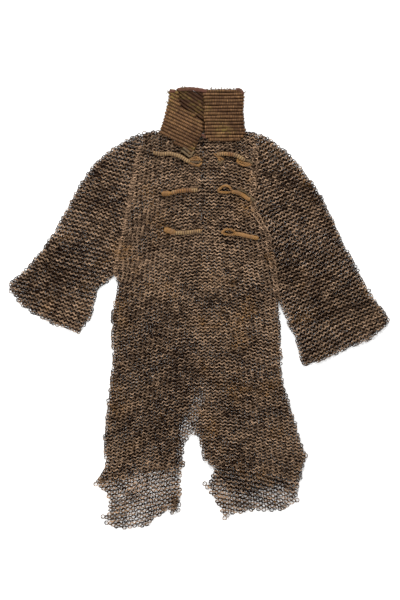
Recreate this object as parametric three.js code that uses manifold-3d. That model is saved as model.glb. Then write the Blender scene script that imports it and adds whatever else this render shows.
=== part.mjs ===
// A riveted mail shirt (hauberk) with a tall laced collar and six leather fasteners,
// laid flat on its back with the sleeves spread. +X is the viewer's right, +Y is up
// the shirt to the collar, +Z is up from the surface that it lies on. Millimetres.
// The origin is under the middle of the whole shirt.
import * as THREE from 'three';
import { mergeVertices } from 'three/addons/utils/BufferGeometryUtils.js';
import Module from 'manifold-3d';

const wasm = await Module();
wasm.setup();

// Driving sizes
const mailWall = 4;        // rings leaning on each other stand about this high
const seam = 0.4;          // clearance between pieces that are joined
const restGap = 0.3;       // between a piece and the one that it lies on
const sleeveGap = 0.6;     // between the two walls of a flattened sleeve
const collarWall = 6;      // rings on edge, laced with thong
const ribPitch = 7.3;      // from rib to rib on the collar
const ribDepth = 1.6;      // groove between two ribs
const collarMiddle = 430;  // height of the middle of the collar
const edgeDrop = 3;        // how far a folded side edge rounds down
const edgeWidth = 14;      // how far in from a side edge the rounding reaches
const shoulderDrop = 5;    // how far the second row of a panel lies below its top edge
const hemRows = 9;         // rows between the split and the hem of a panel
const foldUnder = 0.8;     // share of a fold's height that the underside of the front takes
const sleeveSections = 13; // sections of a sleeve from the armhole to the cuff
const sleeveDrop = 1.2;    // how far a sleeve's upper wall is lower beside its edges
const cordRadius = 4.6;    // wrapped leather cord of a fastener
const strandRadius = 2.2;  // one strand of a leather loop
const mergeDistance = 1e-4;

// The flat top of a collar rib, as shares of the pitch
const ribTop = { from: 0.3, to: 0.7 };
// The flaps lean: each mm up the collar their underside is this much lower than at its foot
const flapLean = { slope: 0.024, foot: 398 };
// The collar lies over the shoulders between these, so they round down only outside them
const bareShoulder = { left: -80, right: 105 };
// Corners round a tube, and steps along it
const cordMesh = { sides: 8, steps: 10 };
const strandMesh = { sides: 6, steps: 8 };
const knobMesh = { sides: 8, steps: 2 };

const frontLow = mailWall + seam;
const frontHigh = frontLow + mailWall;

// Outline of the body, one row for each height where a free edge turns.
// At the armholes the rows are shared with the sleeves.
const armholeLeft = [
  { x: -126, y: 393 }, { x: -132, y: 354 }, { x: -144, y: 287 }, { x: -153, y: 242 },
  { x: -168, y: 168 }, { x: -180, y: 118 }, { x: -187, y: 73 },
];
const armholeRight = [
  { x: 135, y: 393 }, { x: 130, y: 354 }, { x: 125, y: 287 }, { x: 123, y: 242 },
  { x: 128, y: 215 }, { x: 139, y: 195 }, { x: 155, y: 168 }, { x: 164, y: 118 },
  { x: 172, y: 73 }, { x: 177, y: 28 },
];
const sideLeft = [
  { x: -180, y: 66 }, { x: -178, y: 50 }, { x: -182, y: 28 }, { x: -190, y: 5 }, { x: -194, y: -20 },
  { x: -194, y: -60 }, { x: -190, y: -127 }, { x: -196, y: -154 }, { x: -200, y: -199 },
  { x: -208, y: -240 }, { x: -209, y: -276 }, { x: -214, y: -307 }, { x: -205, y: -343 },
  { x: -209, y: -361 }, { x: -223, y: -379 }, { x: -231, y: -394 }, { x: -222, y: -404 },
  { x: -206, y: -421 }, { x: -194, y: -429 }, { x: -196, y: -442 }, { x: -211, y: -468 },
  { x: -207, y: -485 }, { x: -198, y: -495 },
];
const sideRight = [
  { x: 180, y: 5 }, { x: 184, y: -28 }, { x: 186, y: -62 }, { x: 185, y: -95 },
  { x: 188, y: -134 }, { x: 193, y: -181 }, { x: 200, y: -199 }, { x: 208, y: -222 },
  { x: 216, y: -253 }, { x: 223, y: -271 }, { x: 232, y: -307 }, { x: 241, y: -325 },
  { x: 243, y: -341 }, { x: 236, y: -361 }, { x: 232, y: -379 }, { x: 225, y: -397 },
  { x: 223, y: -415 }, { x: 225, y: -433 }, { x: 211, y: -444 }, { x: 196, y: -452 },
  { x: 190, y: -456 },
];
// Edges of the neck slit and of the split in the front skirt
const slitLeft = [
  { x: 13, y: 381 }, { x: 10, y: 354 }, { x: 9, y: 242 }, { x: 10, y: 152 },
  { x: 9, y: -181 }, { x: -2, y: -190 }, { x: -11, y: -208 }, { x: -20, y: -240 },
  { x: -34, y: -269 }, { x: -45, y: -298 }, { x: -45, y: -372 },
];
const slitRight = [
  { x: 15, y: 381 }, { x: 12, y: 354 }, { x: 11, y: 242 }, { x: 10, y: 152 },
  { x: 9, y: -181 }, { x: 15, y: -192 }, { x: 7, y: -222 }, { x: 0, y: -244 },
  { x: -5, y: -275 }, { x: 2, y: -294 }, { x: 8, y: -310 }, { x: 10, y: -332 },
  { x: 16, y: -345 }, { x: 33, y: -352 }, { x: 40, y: -361 }, { x: 38, y: -375 },
  { x: 34, y: -388 },
];
// Edges of the split in the back skirt
const rearLeft = [
  { x: 9, y: 397 }, { x: 5, y: -170 }, { x: -13, y: -276 }, { x: -25, y: -289 },
  { x: -31, y: -312 }, { x: -33, y: -359 }, { x: -44, y: -384 }, { x: -39, y: -408 },
  { x: -37, y: -429 }, { x: -41, y: -446 }, { x: -58, y: -461 },
];
const rearRight = [
  { x: 9, y: 397 }, { x: 5, y: -170 }, { x: -13, y: -276 }, { x: -2, y: -288 },
  { x: 8, y: -306 }, { x: 9, y: -330 }, { x: 16, y: -345 }, { x: 34, y: -352 },
  { x: 40, y: -361 }, { x: 35, y: -375 }, { x: 16, y: -396 }, { x: 27, y: -414 },
  { x: 40, y: -436 }, { x: 52, y: -460 }, { x: 58, y: -468 },
];

// Upper and lower ends of each half of a panel, from its outer edge to its inner one
const shoulderLeft = [
  { x: -126, y: 393 }, { x: -108, y: 397 }, { x: -86, y: 397 }, { x: -60, y: 389 },
  { x: -20, y: 384 }, { x: 13, y: 381 },
];
const shoulderRight = [
  { x: 135, y: 393 }, { x: 109, y: 397 }, { x: 85, y: 389 }, { x: 50, y: 384 },
  { x: 15, y: 381 },
];
const napeLeft = [{ x: -126, y: 393 }, { x: -106, y: 397 }, { x: 9, y: 397 }];
const napeRight = [{ x: 135, y: 393 }, { x: 109, y: 397 }, { x: 9, y: 397 }];
const frontHemLeft = [
  { x: -225, y: -386 }, { x: -190, y: -384 }, { x: -155, y: -381 }, { x: -140, y: -370 },
  { x: -112, y: -367 }, { x: -75, y: -366 }, { x: -45, y: -372 },
];
const frontHemRight = [
  { x: 221, y: -429 }, { x: 207, y: -415 }, { x: 185, y: -397 }, { x: 158, y: -404 },
  { x: 135, y: -413 }, { x: 112, y: -422 }, { x: 94, y: -426 }, { x: 72, y: -415 },
  { x: 54, y: -397 }, { x: 34, y: -388 },
];
const rearHemLeft = [
  { x: -198, y: -495 }, { x: -164, y: -498 }, { x: -142, y: -496 }, { x: -112, y: -492 },
  { x: -97, y: -480 }, { x: -89, y: -462 }, { x: -78, y: -455 }, { x: -58, y: -461 },
];
const rearHemRight = [
  { x: 190, y: -456 }, { x: 173, y: -457 }, { x: 139, y: -458 }, { x: 110, y: -461 },
  { x: 83, y: -462 }, { x: 58, y: -468 },
];

// Sleeve edges, from the shoulder or the armpit down to the cuff, and the cuffs
const overArmLeft = [
  { x: -126, y: 393 }, { x: -164, y: 376 }, { x: -209, y: 346 }, { x: -243, y: 312 },
  { x: -274, y: 260 }, { x: -299, y: 213 }, { x: -340, y: 142 }, { x: -364, y: 114 },
  { x: -407, y: 64 }, { x: -424, y: 56 },
];
const underArmLeft = [
  { x: -187, y: 73 }, { x: -198, y: 62 }, { x: -218, y: 47 }, { x: -226, y: 41 },
  { x: -230, y: 24 }, { x: -236, y: -8 }, { x: -239, y: -26 }, { x: -252, y: -36 },
  { x: -268, y: -57 },
];
const cuffLeft = [
  { x: -424, y: 56 }, { x: -420, y: 35 }, { x: -412, y: 18 }, { x: -396, y: 3 },
  { x: -374, y: -12 }, { x: -331, y: -35 }, { x: -306, y: -42 }, { x: -268, y: -57 },
];
const overArmRight = [
  { x: 135, y: 393 }, { x: 174, y: 371 }, { x: 211, y: 340 }, { x: 245, y: 298 },
  { x: 274, y: 254 }, { x: 306, y: 191 }, { x: 328, y: 142 }, { x: 363, y: 76 },
  { x: 391, y: 24 }, { x: 410, y: 4 }, { x: 421, y: -18 }, { x: 429, y: -25 },
];
const underArmRight = [
  { x: 177, y: 28 }, { x: 193, y: -12 }, { x: 207, y: -46 }, { x: 216, y: -62 },
  { x: 221, y: -77 }, { x: 228, y: -100 }, { x: 230, y: -120 }, { x: 236, y: -132 },
];
const cuffRight = [
  { x: 429, y: -25 }, { x: 423, y: -39 }, { x: 409, y: -56 }, { x: 389, y: -71 },
  { x: 342, y: -89 }, { x: 322, y: -100 }, { x: 295, y: -114 }, { x: 252, y: -126 },
  { x: 236, y: -132 },
];

// Soft folds of the upper walls: a ridge from one point to another,
// with the width of one flank and the height
const frontFolds = [
  { x0: -128, y0: 150, x1: -70, y1: 20, width: 30, height: 2.4 },
  { x0: -170, y0: 40, x1: -105, y1: 100, width: 20, height: 2.2 },
  { x0: 150, y0: 60, x1: 95, y1: 100, width: 20, height: 2.2 },
  { x0: 118, y0: 90, x1: 92, y1: -50, width: 30, height: 2.4 },
  { x0: -14, y0: 60, x1: 6, y1: -110, width: 36, height: 1.8 },
  { x0: -150, y0: -70, x1: -160, y1: -330, width: 34, height: 3 },
  { x0: -92, y0: -180, x1: -104, y1: -340, width: 26, height: 2.4 },
  { x0: 62, y0: -190, x1: 72, y1: -370, width: 28, height: 2.8 },
  { x0: 150, y0: -60, x1: 170, y1: -350, width: 32, height: 3 },
  { x0: 112, y0: -390, x1: 158, y1: -378, width: 15, height: 2.6 },
];
const leftSleeveFolds = [
  { x0: -196, y0: 176, x1: -216, y1: 70, width: 18, height: 2.6 },
  { x0: -230, y0: 170, x1: -256, y1: 20, width: 20, height: 3 },
  { x0: -296, y0: 180, x1: -345, y1: 20, width: 30, height: 2.4 },
  { x0: -210, y0: 310, x1: -250, y1: 230, width: 26, height: 1.8 },
];
const rightSleeveFolds = [
  { x0: 196, y0: 120, x1: 212, y1: 0, width: 18, height: 2.6 },
  { x0: 236, y0: 120, x1: 252, y1: -70, width: 22, height: 3 },
  { x0: 300, y0: 150, x1: 338, y1: -20, width: 30, height: 2.6 },
  { x0: 215, y0: 290, x1: 250, y1: 220, width: 26, height: 1.8 },
];

// Outlines of the collar pieces, anticlockwise
const collarBackOutline = [
  [-82, 398], [107, 398], [103, 430], [101, 460], [103, 487], [70, 491], [8, 490],
  [-20, 491], [-58, 491], [-65, 470], [-72, 435],
];
const flapRightOutline = [
  [26, 374], [90, 373], [101, 380], [109, 396], [105, 412], [102, 433], [104, 466],
  [105, 480], [101, 489], [94, 491], [30, 490], [12, 484], [10, 477], [13, 466],
  [14, 392], [18, 380],
];
const flapLeftOutline = [
  [-87, 398], [-86, 391], [-74, 383], [-58, 374], [-40, 363], [-27, 353], [-17, 340],
  [-11, 341], [-8, 352], [5, 380], [12, 396], [11.5, 418], [-6, 430], [-32, 441],
  [-40, 452], [-42, 470], [-46, 490], [-67, 489], [-67, 470], [-73, 444], [-80, 418],
];
const ribAngle = { left: -26, right: 0, inside: -38 };  // degrees from level
const bindingStrip = {
  line: [[-52, 493.45], [-34, 493.45], [-18, 493.4], [-2, 492.8], [8, 492.45]],
  radius: 2.4,
  rest: 1.5,
  mesh: { sides: 6, steps: 6 },
};

// Fasteners: the run of each wrapped cord, the strands of its loop, and its knob
const fasteners = [
  {
    name: 'fastener_left_1',
    cord: [[-101, 348], [-85, 345], [-62, 345], [-40, 339], [-27, 331], [-17, 327]],
    strands: [
      [[-22, 329], [-8, 337], [0, 336], [9, 328]],
      [[-22, 329], [-9, 321], [1, 319], [9, 328]],
    ],
  },
  {
    name: 'fastener_left_2',
    cord: [[-62, 256], [-45, 261], [-27, 263], [-9, 263], [0, 265]],
    knob: { from: [-82, 255], to: [-60, 256], radius: 5.6 },
  },
  {
    name: 'fastener_left_3',
    cord: [[-56, 167], [-34, 168], [-20, 169], [-4, 171], [9, 173]],
    knob: { from: [-76, 176], to: [-50, 168], radius: 6.2 },
  },
  {
    name: 'fastener_right_1',
    cord: [[42, 343], [56, 345], [72, 344], [86, 341], [96, 336], [106, 331]],
    strands: [
      [[92, 337], [94, 326], [106, 319], [121, 321]],
      [[104, 332], [114, 329], [122, 321], [116, 319]],
    ],
  },
  {
    name: 'fastener_right_2',
    cord: [[75, 260], [88, 258], [101, 252], [112, 244], [118, 242]],
    strands: [
      [[80, 260], [60, 259], [47, 262], [50, 270]],
      [[80, 259], [72, 271], [56, 273], [47, 262]],
    ],
  },
  {
    name: 'fastener_right_3',
    cord: [[82, 166], [97, 164], [108, 161], [122, 158], [136, 155]],
    strands: [
      [[86, 165], [70, 164], [56, 168], [58, 173]],
      [[86, 165], [76, 173], [62, 174], [55, 168]],
    ],
  },
];

const mail = new THREE.MeshStandardMaterial({ color: 0x4b4036, roughness: 0.55, metalness: 0.7 });
const lacedMail = new THREE.MeshStandardMaterial({ color: 0x6d5136, roughness: 0.7, metalness: 0.3 });
const leather = new THREE.MeshStandardMaterial({ color: 0xa17c4c, roughness: 0.75, metalness: 0 });
const darkLeather = new THREE.MeshStandardMaterial({ color: 0x5a3428, roughness: 0.85, metalness: 0 });

const mix = (a, b, t) => a + (b - a) * t;
const clamp = (value, low, high) => Math.min(high, Math.max(low, value));

// The x of an edge at height y; the rows run downwards.
function edgeAt(rows, y) {
  const after = rows.findIndex((row) => row.y <= y);
  if (after === 0) return rows[0].x;
  if (after < 0) return rows[rows.length - 1].x;
  const a = rows[after - 1];
  const b = rows[after];
  return mix(a.x, b.x, (a.y - y) / (a.y - b.y));
}

// Lengths along an open line to each of its points, and the same as shares of the whole.
function lengthsOf(line) {
  const lengths = [0];
  for (let i = 1; i < line.length; i += 1) {
    lengths.push(lengths[i - 1] + Math.hypot(line[i].x - line[i - 1].x, line[i].y - line[i - 1].y));
  }
  return lengths;
}

const sharesOf = (line) => lengthsOf(line).map((length, i, all) => length / all[all.length - 1]);

// The point at a share of an open line's length.
function pointAt(line, share) {
  const shares = sharesOf(line);
  const after = clamp(shares.findIndex((s) => s >= share), 1, line.length - 1);
  const t = (share - shares[after - 1]) / (shares[after] - shares[after - 1]);
  return [mix(line[after - 1].x, line[after].x, t), mix(line[after - 1].y, line[after].y, t)];
}

// Height added by the folds: each is a rounded ridge about a straight line.
function relief(folds, x, y) {
  let height = 0;
  for (const fold of folds) {
    const dx = fold.x1 - fold.x0;
    const dy = fold.y1 - fold.y0;
    const along = clamp(((x - fold.x0) * dx + (y - fold.y0) * dy) / (dx * dx + dy * dy), 0, 1);
    const away = Math.hypot(x - fold.x0 - along * dx, y - fold.y0 - along * dy);
    if (away < fold.width) height += fold.height * 0.5 * (1 + Math.cos(Math.PI * away / fold.width));
  }
  return height;
}

// A geometry from a list of coordinates and the corner numbers of its triangles.
function closedGeometry(positions, triangles) {
  const geometry = new THREE.BufferGeometry();
  geometry.setAttribute('position', new THREE.Float32BufferAttribute(positions, 3));
  geometry.setIndex(triangles);
  geometry.computeVertexNormals();
  return geometry;
}

// A wall over a flat layout of four-sided cells: an upper and a lower skin, and a rim
// along every cell side that no other cell shares.
function wall(points, cells, low, high) {
  const count = points.length;
  const positions = [
    ...points.flatMap(([x, y]) => [x, y, high(x, y)]),
    ...points.flatMap(([x, y]) => [x, y, low(x, y)]),
  ];
  const triangles = [];
  const sides = new Set();
  for (const cell of cells) cell.forEach((a, i) => sides.add(`${a}_${cell[(i + 1) % 4]}`));
  for (const [a, b, c, d] of cells) {
    triangles.push(a, b, c, a, c, d);
    triangles.push(a + count, c + count, b + count, a + count, d + count, c + count);
  }
  for (const side of sides) {
    const [a, b] = side.split('_').map(Number);
    if (!sides.has(`${b}_${a}`)) triangles.push(a + count, b + count, b, a + count, b, a);
  }
  return closedGeometry(positions, triangles);
}

// A body panel in two halves that share the points of their inner edge wherever the two
// edges meet, so a slit or a split opens only where the edges part.
function panel({ halves, levels, low, high }) {
  const points = [];
  const cells = [];
  const found = new Map();
  const pointNumber = (x, y) => {
    const key = `${x.toFixed(2)}_${y.toFixed(2)}`;
    if (!found.has(key)) found.set(key, points.push([x, y]) - 1);
    return found.get(key);
  };
  for (const half of halves) {
    const endAt = (rows, share) => {
      const shares = rows.map((row) => {
        const outer = edgeAt(half.outer, row.y);
        return (row.x - outer) / (edgeAt(half.inner, row.y) - outer);
      });
      const after = clamp(shares.findIndex((s) => s >= share), 1, rows.length - 1);
      const t = clamp((share - shares[after - 1]) / (shares[after] - shares[after - 1]), 0, 1);
      return mix(rows[after - 1].y, rows[after].y, t);
    };
    const grid = [];
    for (const share of half.shares) {
      const top = endAt(half.top, share);
      const hem = endAt(half.hem, share);
      const last = levels[levels.length - 1];
      const heights = [top, top - shoulderDrop, top - edgeWidth, ...levels];
      for (let row = 1; row <= hemRows; row += 1) heights.push(mix(last, hem, row / hemRows));
      grid.push(heights.map((y) => {
        const x = mix(edgeAt(half.outer, y), edgeAt(half.inner, y), share);
        return pointNumber(x, y);
      }));
    }
    for (let column = 0; column + 1 < grid.length; column += 1) {
      for (let row = 0; row + 1 < grid[column].length; row += 1) {
        const [near, far] = [grid[column], grid[column + 1]];
        const cell = [near[row + 1], far[row + 1], far[row], near[row]];
        cells.push(half.side === 'left' ? cell : cell.reverse());
      }
    }
  }
  return wall(points, cells, low, high);
}

const shifted = (rows, dx) => rows.map(({ x, y }) => ({ x: x + dx, y }));
const outerLeft = [...shifted(armholeLeft, seam / 2), ...sideLeft];
const outerRight = [...shifted(armholeRight, -seam / 2), ...sideRight];

// How far a folded side or shoulder edge has rounded down at a point of the front.
function rounding(x, y) {
  const armpitLeft = armholeLeft[armholeLeft.length - 1].y;
  const armpitRight = armholeRight[armholeRight.length - 1].y;
  const depths = [];
  if (y < armpitLeft) depths.push(x - edgeAt(outerLeft, y));
  if (y < armpitRight) depths.push(edgeAt(outerRight, y) - x);
  if (y > shoulderLeft[0].y - edgeWidth) {
    if (x < bareShoulder.left) depths.push(shoulderLeft[1].y - y);
    if (x > bareShoulder.right) depths.push(shoulderRight[1].y - y);
  }
  const inset = clamp(Math.min(edgeWidth, ...depths), 0, edgeWidth);
  return edgeDrop * (1 - inset / edgeWidth) ** 2;
}

// Heights of the rows above the split, and places of the columns from a side to the middle
const armholeLevels = [354, 320, 287, 265, 242, 215, 195, 168, 152, 118, 95, 73, 66, 50, 28];
const frontLevels = [...armholeLevels, 5, -20, -45, -70, -95, -120, -150, -181];
const rearLevels = [354, 287, 242, 215, 195, 168, 118, 73, 66, 28, -20, -62, -127, -181, -230, -276];
const frontShares = [0, 0.03, 0.08, 0.2, 0.34, 0.48, 0.62, 0.74, 0.87, 1];
const rearShares = [0, 0.05, 0.2, 0.36, 0.48, 0.56, 0.64, 0.76, 0.88, 1];

function frontPanel() {
  const fold = (x, y) => relief(frontFolds, x, y);
  const left = {
    side: 'left', outer: outerLeft, inner: slitLeft, top: shoulderLeft, hem: frontHemLeft,
  };
  const right = {
    side: 'right', outer: outerRight, inner: slitRight, top: shoulderRight, hem: frontHemRight,
  };
  return panel({
    halves: [{ ...left, shares: frontShares }, { ...right, shares: frontShares }],
    levels: frontLevels,
    low: (x, y) => frontLow + foldUnder * fold(x, y),
    high: (x, y) => frontHigh + fold(x, y) - rounding(x, y),
  });
}

function backPanel() {
  const left = {
    side: 'left', outer: outerLeft, inner: rearLeft, top: napeLeft, hem: rearHemLeft,
  };
  const right = {
    side: 'right', outer: outerRight, inner: rearRight, top: napeRight, hem: rearHemRight,
  };
  return panel({
    halves: [{ ...left, shares: rearShares }, { ...right, shares: rearShares }],
    levels: rearLevels,
    low: () => 0,
    high: () => mailWall,
  });
}

// A flattened tube between four edges. Each section is a ring of points that runs over
// the upper wall from the outer edge of the arm to the inner one and back underneath,
// with a second ring inside it. The plan of a section blends the four edges.
function sleeve({ armhole, cuff, overArm, underArm, folds, side }) {
  const outerInsets = [0, 3, 10];   // columns near an edge of the outer skin
  const innerInsets = [4, 6, 12];   // and of the inner one
  const stations = sharesOf(armhole).slice(1, -1);
  const shift = side === 'left' ? -seam / 2 : seam / 2;
  const corners = [armhole[0], armhole[armhole.length - 1], cuff[0], cuff[cuff.length - 1]];
  const plan = (u, v) => {
    const across = [pointAt(armhole, u), pointAt(cuff, u)];
    const along = [pointAt(overArm, v), pointAt(underArm, v)];
    return [0, 1].map((axis) => {
      const key = axis === 0 ? 'x' : 'y';
      const [a, b, c, d] = corners.map((corner) => corner[key]);
      const blend = mix(mix(a, b, u), mix(c, d, u), v);
      return mix(across[0][axis], across[1][axis], v) + mix(along[0][axis], along[1][axis], u) - blend;
    });
  };
  const ring = (v, insets, heights) => {
    const [ax, ay] = plan(0, v);
    const [bx, by] = plan(1, v);
    const width = Math.hypot(bx - ax, by - ay);
    const nearEdges = insets.map((d) => d / width);
    const shares = [...nearEdges, ...stations, ...nearEdges.map((share) => 1 - share).reverse()];
    const middle = frontHigh / 2;
    const place = (u, z) => {
      const [x, y] = plan(u, v);
      return [x + shift, y, z(x, y)];
    };
    const last = shares.length - 1;
    const upper = shares.map((u, i) => {
      if (i === 0 || i === last) return place(u, () => middle);
      const nearEdge = i === 1 || i === last - 1;
      return place(u, (x, y) => (nearEdge ? heights.near : heights.upper) + relief(folds, x, y));
    });
    const lower = shares.slice(1, -1).reverse().map((u) => place(u, () => heights.lower));
    return [...upper, ...lower];
  };
  const outerHeights = { upper: frontHigh, near: frontHigh - sleeveDrop, lower: 0 };
  const roof = (frontHigh + sleeveGap) / 2;
  const cavity = { upper: roof, near: roof, lower: roof - sleeveGap };
  const last = sleeveSections;
  const rings = [];
  for (let i = 0; i <= last; i += 1) {
    const v = i / last;
    rings.push({ outer: ring(v, outerInsets, outerHeights), inner: ring(v, innerInsets, cavity) });
  }
  const size = rings[0].outer.length;
  const positions = rings.flatMap(({ outer, inner }) => [...outer, ...inner].flat());
  const outside = (section, i) => section * 2 * size + (i % size);
  const inside = (section, i) => outside(section, i) + size;
  const triangles = [];
  const quad = (a, b, c, d) => triangles.push(a, b, c, a, c, d);
  for (let s = 0; s < last; s += 1) {
    for (let i = 0; i < size; i += 1) {
      quad(outside(s, i), outside(s + 1, i), outside(s + 1, i + 1), outside(s, i + 1));
      quad(inside(s, i + 1), inside(s + 1, i + 1), inside(s + 1, i), inside(s, i));
    }
  }
  for (let i = 0; i < size; i += 1) {
    quad(outside(0, i), outside(0, i + 1), inside(0, i + 1), inside(0, i));
    quad(outside(last, i + 1), outside(last, i), inside(last, i), inside(last, i + 1));
  }
  if (side === 'right') triangles.reverse();
  return closedGeometry(positions, triangles);
}

// A closed geometry as a solid that can be joined and cut, and back.
function solidOf(geometry) {
  const bare = geometry.clone();
  bare.deleteAttribute('normal');
  bare.deleteAttribute('uv');
  const merged = mergeVertices(bare, mergeDistance);
  const mesh = new wasm.Mesh({
    numProp: 3,
    vertProperties: new Float32Array(merged.attributes.position.array),
    triVerts: new Uint32Array(merged.index.array),
  });
  return new wasm.Manifold(mesh);
}

function geometryOf(solid) {
  const mesh = solid.getMesh();
  return closedGeometry([...mesh.vertProperties], [...mesh.triVerts]);
}

// A flat plate with straight ribs on its upper side: a long zigzag section drawn along
// the ribs, turned to their angle and cut to the outline. Its underside is at `low`,
// or at `low` where y is `foot` when it leans by `slope`.
function ribbedPlate({ outline, angle, low, slope = 0, foot = 0 }) {
  const reach = 160;   // half the plate before it is cut
  const section = new THREE.Shape();
  section.moveTo(-reach, 0);
  section.lineTo(reach, 0);
  const ribs = Math.floor((2 * reach) / ribPitch);
  for (let i = 0; i <= ribs; i += 1) {
    const at = reach - i * ribPitch;
    section.lineTo(at, collarWall - ribDepth);
    if (i < ribs) {
      section.lineTo(at - ribTop.from * ribPitch, collarWall);
      section.lineTo(at - ribTop.to * ribPitch, collarWall);
    }
  }
  section.lineTo(-reach, collarWall - ribDepth);
  const straight = { bevelEnabled: false, steps: 1 };
  const plate = new THREE.ExtrudeGeometry(section, { depth: 2 * reach, ...straight });
  plate.translate(0, 0, -reach);
  // the section's x becomes y, its y becomes z, and its depth becomes x
  plate.applyMatrix4(new THREE.Matrix4().set(0, 0, 1, 0, 1, 0, 0, 0, 0, 1, 0, 0, 0, 0, 0, 1));
  plate.rotateZ(THREE.MathUtils.degToRad(angle));
  plate.translate(0, collarMiddle, 0);
  const shape = new THREE.Shape(outline.map(([x, y]) => new THREE.Vector2(x, y)));
  const block = new THREE.ExtrudeGeometry(shape, { depth: 4 * collarWall, ...straight });
  block.translate(0, 0, -collarWall);
  const cut = geometryOf(solidOf(plate).intersect(solidOf(block)));
  const place = cut.attributes.position;
  for (let i = 0; i < place.count; i += 1) {
    place.setZ(i, place.getZ(i) + low + slope * (foot - place.getY(i)));
  }
  return cut;
}

// A round tube through points that lie on a surface at height `rest`.
function tube(points, radius, rest, { sides, steps }) {
  const places = points.map(([x, y]) => new THREE.Vector3(x, y, rest + radius));
  const path = new THREE.CatmullRomCurve3(places, false, 'centripetal');
  const corners = Array.from({ length: sides }, (_, i) => {
    const turn = (2 * Math.PI * i) / sides;
    return new THREE.Vector2(radius * Math.cos(turn), radius * Math.sin(turn));
  });
  const options = { steps, extrudePath: path, bevelEnabled: false };
  return new THREE.ExtrudeGeometry(new THREE.Shape(corners), options);
}

function fastener({ cord, strands = [], knob }) {
  const rest = frontHigh + restGap;
  let solid = solidOf(tube(cord, cordRadius, rest, cordMesh));
  for (const strand of strands) {
    solid = solid.add(solidOf(tube(strand, strandRadius, rest, strandMesh)));
  }
  if (knob) solid = solid.add(solidOf(tube([knob.from, knob.to], knob.radius, rest, knobMesh)));
  return geometryOf(solid);
}

function binding() {
  return tube(bindingStrip.line, bindingStrip.radius, bindingStrip.rest, bindingStrip.mesh);
}

const hauberk = new THREE.Group();
const piece = (name, geometry, material) => {
  const mesh = new THREE.Mesh(geometry, material);
  mesh.name = name;
  hauberk.add(mesh);
};

piece('back_panel', backPanel(), mail);
piece('front_panel', frontPanel(), mail);
piece('sleeve_left', sleeve({
  side: 'left',
  armhole: armholeLeft,
  cuff: cuffLeft,
  overArm: overArmLeft,
  underArm: underArmLeft,
  folds: leftSleeveFolds,
}), mail);
piece('sleeve_right', sleeve({
  side: 'right',
  armhole: armholeRight,
  cuff: cuffRight,
  overArm: overArmRight,
  underArm: underArmRight,
  folds: rightSleeveFolds,
}), mail);
const flap = { low: frontHigh + restGap, ...flapLean };
const collarBack = { outline: collarBackOutline, angle: ribAngle.inside, low: 0 };
const flapLeft = { outline: flapLeftOutline, angle: ribAngle.left, ...flap };
const flapRight = { outline: flapRightOutline, angle: ribAngle.right, ...flap };
piece('collar_back', ribbedPlate(collarBack), lacedMail);
piece('collar_flap_left', ribbedPlate(flapLeft), lacedMail);
piece('collar_flap_right', ribbedPlate(flapRight), lacedMail);
piece('collar_binding', binding(), darkLeather);
for (const row of fasteners) piece(row.name, fastener(row), leather);

export default hauberk;
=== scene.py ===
import bpy
import numpy as np
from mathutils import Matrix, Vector
from mathutils.bvhtree import BVHTree


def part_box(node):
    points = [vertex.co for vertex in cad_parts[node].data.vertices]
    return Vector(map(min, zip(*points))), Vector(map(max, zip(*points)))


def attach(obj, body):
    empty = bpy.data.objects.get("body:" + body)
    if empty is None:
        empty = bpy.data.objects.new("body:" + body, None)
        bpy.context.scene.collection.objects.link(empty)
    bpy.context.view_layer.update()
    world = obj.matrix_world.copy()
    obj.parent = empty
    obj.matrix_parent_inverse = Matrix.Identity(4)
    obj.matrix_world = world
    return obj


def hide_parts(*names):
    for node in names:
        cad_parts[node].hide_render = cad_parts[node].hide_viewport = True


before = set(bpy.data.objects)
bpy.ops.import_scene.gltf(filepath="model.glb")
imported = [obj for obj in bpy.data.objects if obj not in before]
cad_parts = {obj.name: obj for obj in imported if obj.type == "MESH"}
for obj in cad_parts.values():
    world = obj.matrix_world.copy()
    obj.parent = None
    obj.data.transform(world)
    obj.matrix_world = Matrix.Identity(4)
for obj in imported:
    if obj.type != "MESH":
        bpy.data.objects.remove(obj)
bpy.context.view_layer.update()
scene = bpy.context.scene
mm = 0.001
upright = np.array([0.0, 0.0, 1.0])
rng = np.random.default_rng(1187)

# View and light

view = {
    "pixel": 2.25 * mm,        # one pixel of the 400 x 600 picture on the shirt
    "imageSize": (400, 600),
    "lookAt": (4.5 * mm, 16.9 * mm),
    "distance": 4.0,
    "sensor": 36.0,
}
studio = {
    "keyPower": 70.0,
    "keyPlace": (0.2, 2.1, 1.5),
    "keySize": 1.2,
    "fillPower": 40.0,
    "fillPlace": (-1.9, -0.5, 1.4),
    "fillSize": 1.6,
    "skyStrength": 2.0,
    "overhead": 0.05,
    "skyFrom": 0.45,           # height of the sky where it starts to fade, and where it ends
    "skyTo": 0.85,
    "floorColour": (0.93, 0.93, 0.925, 1.0),
    "floorRoughness": 0.9,
    "floorGloss": 0.1,
    "floorSize": 3.0,
}


def addNode(tree, kind, links=(), **settings):
    # settings go to the node; links are (input, source socket or plain value)
    node = tree.nodes.new(kind)
    for key, value in settings.items():
        setattr(node, key, value)
    for slot, source in links:
        if isinstance(source, bpy.types.NodeSocket):
            tree.links.new(source, node.inputs[slot])
        else:
            node.inputs[slot].default_value = source
    return node


def aimedLight(name, place, power, size):
    # square lamp whose -Z axis points from its place to the origin
    lamp = bpy.data.lights.new(name, "AREA")
    lamp.energy = power
    lamp.size = size
    holder = bpy.data.objects.new(name, lamp)
    holder.location = place
    holder.rotation_euler = (-Vector(place)).to_track_quat("-Z", "Y").to_euler()
    scene.collection.objects.link(holder)


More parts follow.
